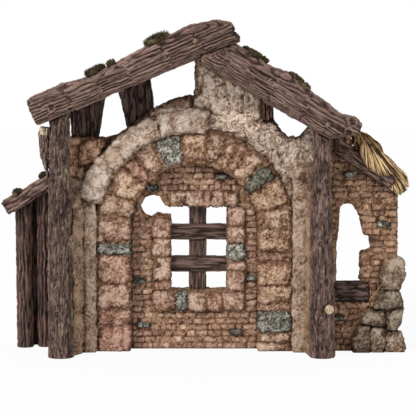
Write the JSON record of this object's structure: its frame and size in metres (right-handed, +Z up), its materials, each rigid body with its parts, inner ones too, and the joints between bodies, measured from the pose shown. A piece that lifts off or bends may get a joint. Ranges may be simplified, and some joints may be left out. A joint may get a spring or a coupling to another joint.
{
  "type": "nativity stable",
  "caption": "Ruined stone arch with a brick recess and a lattice window under a pitched log roof, with a small lean-to at each side.",
  "frame": {"origin": "middle of the wall slab's foot, below the arch's centre line", "axes": "+X to the right seen from the front, +Y to the back, +Z up"},
  "size_m": [0.6471, 0.151, 0.5267],
  "materials": {
    "backing_render": "rough",
    "clay_brick": "rough",
    "grey_slate": "rough",
    "arch_stone": "rough",
    "pale_stone": "rough",
    "red_ledge": "rough",
    "lime_render": "rough",
    "shoulder_stone": "rough",
    "pier_render": "rough",
    "dark_wood": "weathered",
    "post_bark": "bark",
    "roof_bark": "bark",
    "lattice_wood": "bark",
    "cut_wood": "end grain",
    "field_stone": "rough",
    "straw": "rough",
    "moss": "rough"
  },
  "bodies": {
    "root": {"wall_core": "backing_render", "wall_bricks": "clay_brick", "wall_slates": "grey_slate", "arch_voussoirs": "arch_stone", "arch_slates": "grey_slate", "left_jamb_stones": "arch_stone", "right_jamb_stones": "arch_stone", "jamb_slates": "grey_slate", "outer_band_stones": "pale_stone", "band_ledge": "red_ledge", "gable_render": "lime_render", "gable_boards": "dark_wood", "left_shoulder_stones": "shoulder_stone", "left_pilaster": "pier_render", "right_pilaster": "pier_render", "window_head_stones": "arch_stone", "window_jamb_stones": "arch_stone", "window_sill_stones": "arch_stone", "window_slates": "grey_slate", "lattice_upright": "lattice_wood", "lattice_upper_bar": "lattice_wood", "lattice_lower_bar": "lattice_wood", "left_post": "post_bark", "left_post_branch": "post_bark", "right_post": "post_bark", "right_post_stub": "cut_wood", "post_pins": "cut_wood", "left_rafter_front": "roof_bark", "left_rafter_middle": "roof_bark", "left_rafter_rear": "roof_bark", "right_rafter_front": "roof_bark", "right_rafter_middle": "roof_bark", "right_rafter_rear": "roof_bark", "roof_dowels": "cut_wood", "left_stud": "dark_wood", "left_brace": "dark_wood", "wing_wall": "backing_render", "wing_bricks": "clay_brick", "wing_slates": "grey_slate", "corner_rubble": "field_stone", "wing_sill_log": "dark_wood", "wing_roof_beam": "roof_bark", "wing_roof_boards": "roof_bark", "eave_stones": "arch_stone", "thatch_upper": "straw", "thatch_fan": "straw", "thatch_eave": "straw", "left_wing_board": "dark_wood", "left_outer_log": "post_bark", "left_inner_log": "post_bark", "left_wing_beam_front": "roof_bark", "left_wing_beam_rear": "roof_bark", "moss_left": "moss", "moss_right": "moss", "moss_wing": "moss"}
  },
  "joints": []
}
